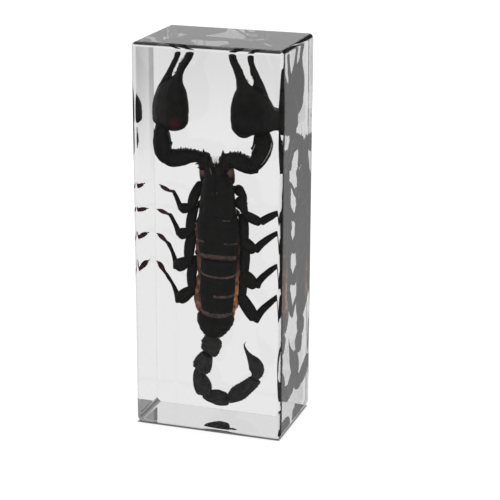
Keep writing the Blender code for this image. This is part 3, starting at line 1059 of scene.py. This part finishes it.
def makeLeg(name, leg):
    target = bmesh.new()
    chance = random.Random(name)
    for part, rows in leg.items():
        addLimb(target, rows, int(part == "foot"), **legShapes[part])
    # two hooked claws at the tip
    end = Vector(leg["foot"][-1][:3])
    way = (end - Vector(leg["foot"][-2][:3])).normalized()
    for side in (-1, 1):
        out = way.cross(Vector((0, 0, 1))).normalized() * side
        root = end + out * 0.14
        bend = root + way * 0.32 + out * 0.1
        tip = root + way * 0.55 + out * 0.12 + Vector((0, 0.16, 0))
        addLimb(target, [(*root, 0.13, 0.13), (*bend, 0.1, 0.1), (*tip, 0.03, 0.03)], **legShapes["claw"])
    # short stiff bristles on the foot and shin
    for part, count in legBristles.items():
        read = smoothStations(leg[part])
        for _ in range(count):
            share = chance.uniform(0.15, 0.95)
            x, y, z, wide, deep = read(share)
            ahead = wayAt(read, share, before=0.0, after=0.02)
            angle = chance.uniform(0, 2 * math.pi)
            across, up = besideWay(ahead)
            out = across * math.cos(angle) + up * math.sin(angle)
            root = Vector((x, y, z)) + across * math.cos(angle) * wide * 0.95
            root += up * math.sin(angle) * deep * 0.95
            addSpike(target, root, out + ahead * 0.9, chance.uniform(0.25, 0.6), 0.028, segments=4, slot=1)
    finishPiece(name, target, [blackHorn, footHorn])


for legName, legShape in legs.items():
    makeLeg(legName, legShape)
print("legs made")


tail = {
    "tailRing1": [(-2.35, 6.0, 24.5, 1.5, 1.5), (-2.6, 6.1, 23.5, 2.3, 2.0), (-2.85, 6.6, 22.0, 2.9, 2.3),
                  (-3.2, 6.8, 20.8, 2.65, 2.3), (-3.4, 7.0, 19.6, 2.5, 2.25), (-3.65, 7.1, 18.8, 2.1, 2.0),
                  (-3.95, 7.2, 18.2, 1.4, 1.5)],
    "tailRing2": [(-4.3, 7.3, 18.3, 1.4, 1.5), (-4.95, 7.6, 17.2, 1.95, 1.9), (-5.6, 7.9, 15.6, 2.45, 2.2),
                  (-6.05, 8.1, 14.3, 2.6, 2.25), (-6.25, 8.2, 13.8, 2.5, 2.25), (-6.5, 8.3, 13.35, 2.05, 2.1),
                  (-6.85, 8.4, 12.95, 1.0, 1.6)],
    "tailRing3": [(-7.4, 8.4, 13.0, 0.8, 1.2), (-7.55, 8.5, 11.9, 1.1, 1.5), (-7.05, 8.6, 10.2, 1.9, 2.0),
                  (-6.4, 8.7, 8.6, 2.4, 2.2), (-5.95, 8.8, 7.3, 2.45, 2.2), (-5.65, 8.8, 6.4, 2.1, 2.0),
                  (-5.5, 8.8, 5.8, 1.3, 1.5)],
    "tailRing4": [(-6.0, 8.9, 5.7, 0.85, 1.2), (-4.7, 8.9, 5.25, 1.35, 1.7), (-3.1, 9.0, 5.0, 1.8, 2.0),
                  (-1.5, 9.0, 4.85, 2.1, 2.1), (0.0, 9.0, 4.6, 1.9, 2.0), (1.1, 9.0, 4.35, 1.4, 1.7),
                  (2.1, 9.0, 4.3, 0.75, 1.1)],
    "tailRing5": [(1.7, 9.0, 4.75, 0.8, 1.2), (2.6, 9.0, 5.4, 1.4, 1.7), (4.1, 9.0, 6.6, 2.1, 2.0),
                  (5.4, 9.0, 7.6, 2.2, 2.0), (7.0, 9.0, 9.0, 1.95, 1.9), (8.6, 8.95, 10.5, 1.75, 1.7),
                  (9.55, 8.9, 11.4, 1.55, 1.5), (9.95, 8.9, 11.9, 0.9, 1.0)],
    "tailBulb": [(9.7, 8.8, 12.1, 0.75, 0.9), (10.1, 8.8, 13.1, 1.45, 1.4), (10.3, 8.8, 14.6, 2.05, 1.9),
                 (9.95, 8.8, 16.0, 2.2, 2.0), (9.25, 8.8, 17.2, 1.85, 1.75), (8.35, 8.8, 18.3, 1.15, 1.2),
                 (7.55, 8.8, 19.4, 0.66, 0.72), (6.95, 8.8, 20.4, 0.4, 0.44), (6.5, 8.8, 21.4, 0.25, 0.27),
                 (6.4, 8.8, 22.1, 0.15, 0.16), (6.85, 8.8, 22.9, 0.04, 0.04)],
}
# depth of each part's first and last station
tailDepth = {
    "tailRing1": (5.6, 4.2),
    "tailRing2": (4.5, 5.6),
    "tailRing3": (5.9, 8.0),
    "tailRing4": (8.6, 9.0),
    "tailRing5": (9.0, 6.2),
    "tailBulb": (5.9, 4.2),
}
tailSlide = (0.21, 0.254)    # X and Z per mm of depth along the line of sight


def keelBeads(target, rows, angles, count, size):
    # beads that run along the ridges of a tail ring
    read = smoothStations(rows)
    for angle in angles:
        for step in range(count):
            share = 0.14 + 0.74 * step / (count - 1)
            x, y, z, wide, deep = read(share)
            across, up = besideWay(wayAt(read, share))
            c, s = math.cos(math.radians(angle)), math.sin(math.radians(angle))
            spot = Vector((x, y, z)) + across * signedPower(c, 0.8) * wide * 1.04
            addBead(target, spot + up * signedPower(s, 0.8) * deep * 1.04, size * (0.8 + 0.4 * share))


tailKeels = [(angle, 0.36, 8) for angle in (38, 142, -35, -145)]
tailKeels += [(-75, 0.14, 8), (-105, 0.14, 8), (5, 0.16, 8), (175, 0.16, 8)]
tailShapes = {
    "ring": dict(sides=72, rings=64, square=2.35, grainSize=0.45, grainHeight=0.06, lumps=0.07,
                 keels=tailKeels, roundStart=0.4, roundEnd=0.35),
    "bulb": dict(sides=56, rings=90, square=2.05, grainSize=0.5, grainHeight=0.08, lumps=0.08,
                 keels=((-90, 0.08, 10), (-50, 0.06, 8), (-130, 0.06, 8)), roundStart=0.6, roundEnd=0.1),
}
# root, direction, length, radius
tailSpikes = {
    "tailRing5": [((10.7, 6.5, 11.3), (1.0, 0.0, -0.2), 0.8, 0.45),
                  ((10.0, 6.8, 10.3), (1.0, 0.0, -0.5), 0.5, 0.3)],
    "tailBulb": [((9.8, 5.2, 14.0), (-1.0, 0.0, 0.1), 0.45, 0.35),
                 ((12.3, 5.2, 14.1), (1.0, 0.0, -0.2), 0.45, 0.35),
                 ((12.9, 5.0, 16.1), (1.0, 0.0, 0.2), 0.45, 0.35),
                 ((12.4, 4.8, 17.7), (1.0, 0.0, 0.4), 0.45, 0.35)],
}


def makeTail():
    for name, drawn in tail.items():
        rows = bringForward(drawn, tailDepth[name], tailSlide)
        target = bmesh.new()
        if name == "tailBulb":
            addLimb(target, rows, **tailShapes["bulb"])
        else:
            addLimb(target, rows, **tailShapes["ring"])
            keelBeads(target, rows, (38, 142), 13, 0.23)
            keelBeads(target, rows, (4, 176), 9, 0.26)
        for spike in tailSpikes.get(name, ()):
            addSpike(target, *spike)
        finishPiece(name, target, [hazePaintedHorn])


makeTail()
print("tail made")


view = {
    "place": (153.64, -439.07, 195.20),   # mm
    "turn": 18.352,                       # degrees round the block
    "down": 17.376,                       # degrees below level
    "roll": 0.2,
    "lens": 124.64,
}
studio = {
    "world": 1.0,
    "mirrored": (0.8, 0.62),      # brightness of the room to the left and right where the faces mirror it
    "mirroredTurn": (-0.15, 0.15),   # the direction's X at the left and right end of that change
    "frontShade": 0.12,           # the same for the unlit room in front of the block
    "frontTurn": (0.5, 0.82),
    "floor": (0.3, 0.3, 0.3, 1.0),
    "floorReach": 4.0,            # metres from the middle to each side
    "floorDrop": 0.00002,         # how far it lies under the block
    "floorGlow": 0.8,
    "underBlock": (0.0215, 0.014),   # half width and half depth of the floor the glow doesn't reach, metres
    # dark cards round the white backdrop: how dark each is seen through the resin, then how dark where a face
    # mirrors it, then where each of the direction's X, Y and Z begins to count and counts fully
    "cards": [
        (0.38, 0.1, (("X", -0.05, 0.12), ("Y", 0.4, 0.7), ("Z", -0.02, 0.2))),
        (0.55, 1.0, (("X", 0.352, 0.378), ("Y", 0.5, 0.8), ("Z", -0.27, -0.19))),
        (0.87, 1.0, (("Y", 0.5, 0.8), ("Z", -0.24, -0.185))),
        (0.06, 1.0, (("Y", 0.1, 0.4), ("Z", -0.5, -0.65))),
    ],
}
# how often light may be bent or mirrored on its way through the clear block
lightPaths = {
    "max_bounces": 28,
    "transmission_bounces": 24,
    "glossy_bounces": 20,
    "diffuse_bounces": 4,
    "caustics_refractive": True,
    "caustics_reflective": True,
}


def mixValues(nodes, links, factor, first, second):
    node = newNode(nodes, "Mix", data_type="FLOAT")
    for label, value in (("Factor", factor), ("A", first), ("B", second)):
        feed(links, node.inputs[label], value)
    return node.outputs["Result"]


def makeBackdrop():
    world = bpy.data.worlds.new("studio")
    scene.world = world
    world.use_nodes = True
    nodes, links = world.node_tree.nodes, world.node_tree.links
    background = nodes["Background"]
    setInputs(background, {"Color": (1.0, 1.0, 1.0, 1.0)})
    place = newNode(nodes, "TexCoord")
    split = newNode(nodes, "SeparateXYZ")
    front = rangeNode(nodes, 0.0, 1.0, *studio["frontTurn"], smooth=True)
    sideways = rangeNode(nodes, *studio["mirrored"], *studio["mirroredTurn"], smooth=True)
    wire(links, (place, "Generated", split, "Vector"), (split, "Y", front, "Value"),
         (split, "X", sideways, "Value"))
    path = newNode(nodes, "LightPath")
    through = path.outputs["Is Transmission Ray"]
    mirrored = mathNode(nodes, links, "MULTIPLY", path.outputs["Is Glossy Ray"],
                        mathNode(nodes, links, "SUBTRACT", 1.0, through))
    backdrop = 1.0
    mirror = mixValues(nodes, links, front.outputs["Result"], studio["frontShade"],
                       sideways.outputs["Result"])
    for level, mirrorLevel, ranges in studio["cards"]:
        card = 1.0
        for axis, begins, full in ranges:
            edge = rangeNode(nodes, 0.0, 1.0, begins, full, smooth=True)
            wire(links, (split, axis, edge, "Value"))
            card = mathNode(nodes, links, "MULTIPLY", card, edge.outputs["Result"])
        shade = mathNode(nodes, links, "MULTIPLY_ADD", card, level - 1.0, 1.0)
        backdrop = mathNode(nodes, links, "MULTIPLY", backdrop, shade)
        if mirrorLevel < 1.0:
            shade = mathNode(nodes, links, "MULTIPLY_ADD", card, mirrorLevel - 1.0, 1.0)
            mirror = mathNode(nodes, links, "MULTIPLY", mirror, shade)
    seenThrough = mixValues(nodes, links, through, 1.0, backdrop)
    seen = mixValues(nodes, links, mirrored, seenThrough, mirror)
    strength = mathNode(nodes, links, "MULTIPLY", seen, studio["world"])
    links.new(strength, background.inputs["Strength"])


def makeFloor():
    bm = bmesh.new()
    bmesh.ops.create_grid(bm, x_segments=1, y_segments=1, size=studio["floorReach"])
    bmesh.ops.translate(bm, vec=(0.0, 0.0, -studio["floorDrop"]), verts=bm.verts[:])
    mesh = bpy.data.meshes.new("floor")
    bm.to_mesh(mesh)
    bm.free()
    material, nodes, links, shader = newMaterial("paleFloor")
    setInputs(shader, {"Base Color": studio["floor"], "Roughness": 0.9, "Specular IOR Level": 0.0,
                       "Emission Color": (1.0, 1.0, 1.0, 1.0)})
    # the glow stops under the block, so its foot has a thin contact shadow
    place = newNode(nodes, "TexCoord")
    split = newNode(nodes, "SeparateXYZ")
    wire(links, (place, "Object", split, "Vector"))
    outside = 0.0
    for axis, reach in zip("XY", studio["underBlock"]):
        away = mathNode(nodes, links, "ABSOLUTE", split.outputs[axis])
        edge = rangeNode(nodes, 0.0, 1.0, reach - 0.0006, reach + 0.0002, smooth=True)
        links.new(away, edge.inputs["Value"])
        outside = mathNode(nodes, links, "MAXIMUM", outside, edge.outputs["Result"])
    glow = mathNode(nodes, links, "MULTIPLY", outside, studio["floorGlow"])
    links.new(glow, shader.inputs["Emission Strength"])
    mesh.materials.append(material)
    floor = bpy.data.objects.new("floor", mesh)
    scene.collection.objects.link(floor)
    floor.visible_glossy = False
    floor.visible_transmission = False


def makeCamera():
    data = bpy.data.cameras.new("camera")
    data.lens = view["lens"]
    data.sensor_width = 36.0
    data.clip_start = 0.01
    camera = bpy.data.objects.new("camera", data)
    camera.location = Vector(view["place"]) * millimetre
    aim = Matrix.Rotation(math.radians(view["turn"]), 3, "Z")
    aim = aim @ Matrix.Rotation(math.radians(90.0 - view["down"]), 3, "X")
    aim = aim @ Matrix.Rotation(math.radians(view["roll"]), 3, "Z")
    camera.rotation_euler = aim.to_euler()
    scene.collection.objects.link(camera)
    scene.camera = camera


makeBackdrop()
makeFloor()
makeCamera()
scene.view_settings.view_transform = "Standard"
for path, setting in lightPaths.items():
    setattr(scene.cycles, path, setting)
print("studio made")
